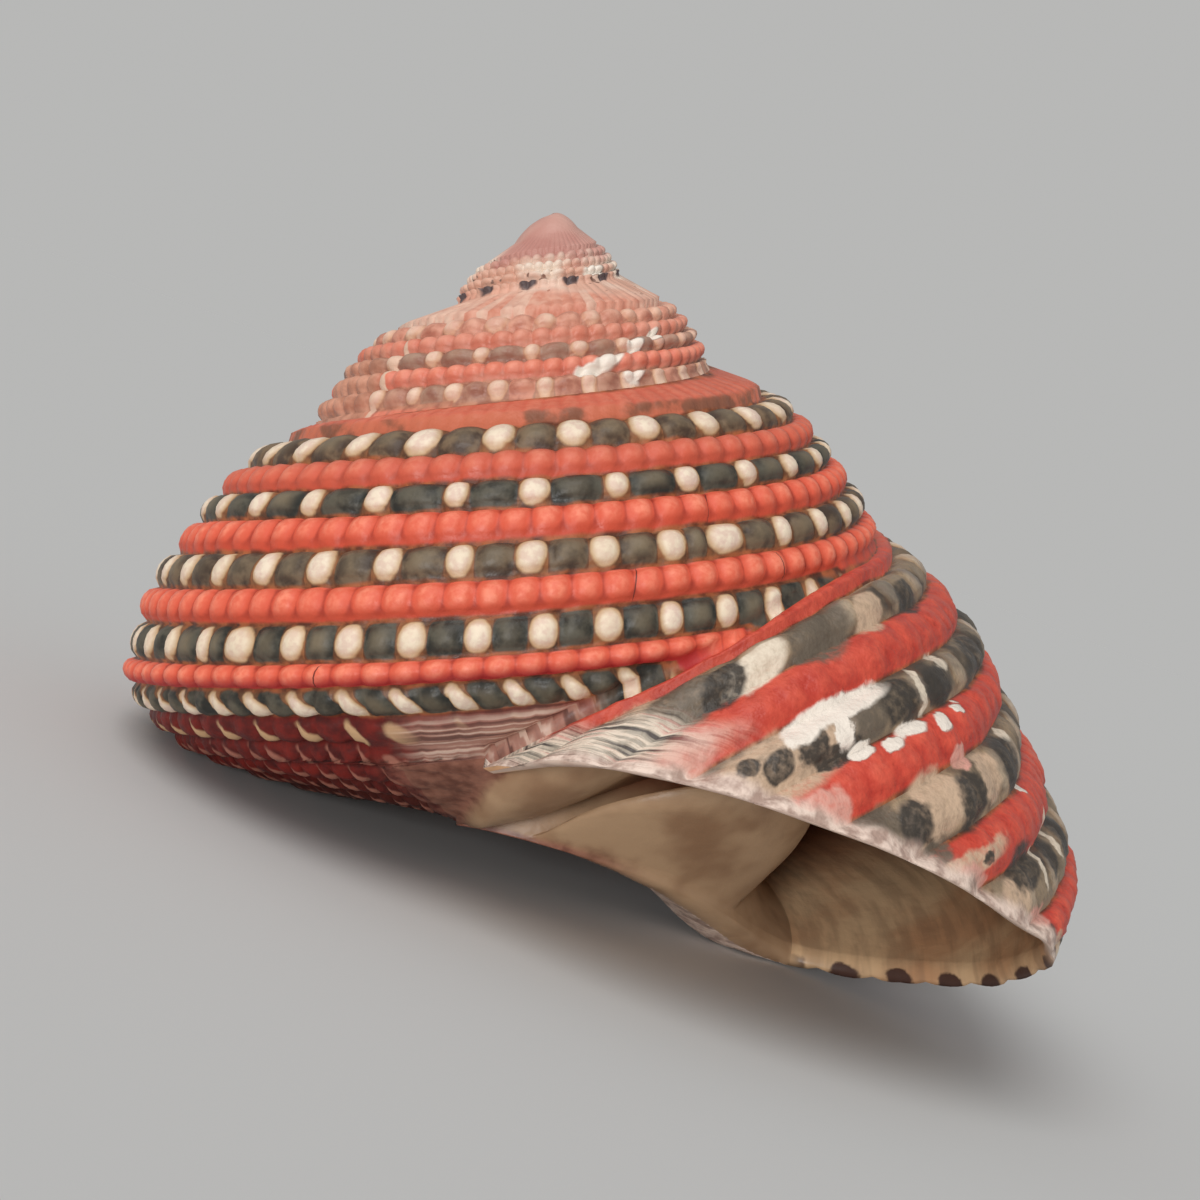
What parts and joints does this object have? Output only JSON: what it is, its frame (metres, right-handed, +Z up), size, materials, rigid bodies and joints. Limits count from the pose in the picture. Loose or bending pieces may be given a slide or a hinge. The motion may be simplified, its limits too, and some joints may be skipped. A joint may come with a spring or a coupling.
{
  "type": "strawberry top shell",
  "caption": "Empty top shell of a sea snail: a low coiled cone with beaded spiral cords and an oblique open mouth, lying on its base and lip.",
  "frame": {"origin": "middle of the bounding box, on the surface that the shell rests on", "axes": "+Z up; the viewer looks along +Y, and the mouth opens downwards and towards -Y; +X to the viewer's right, where the lip is"},
  "size_m": [0.022, 0.0208, 0.0144],
  "materials": {
    "shell": "soft satin, coral red beads with black and white ones"
  },
  "bodies": {
    "root": {"shell": "shell"}
  },
  "joints": []
}
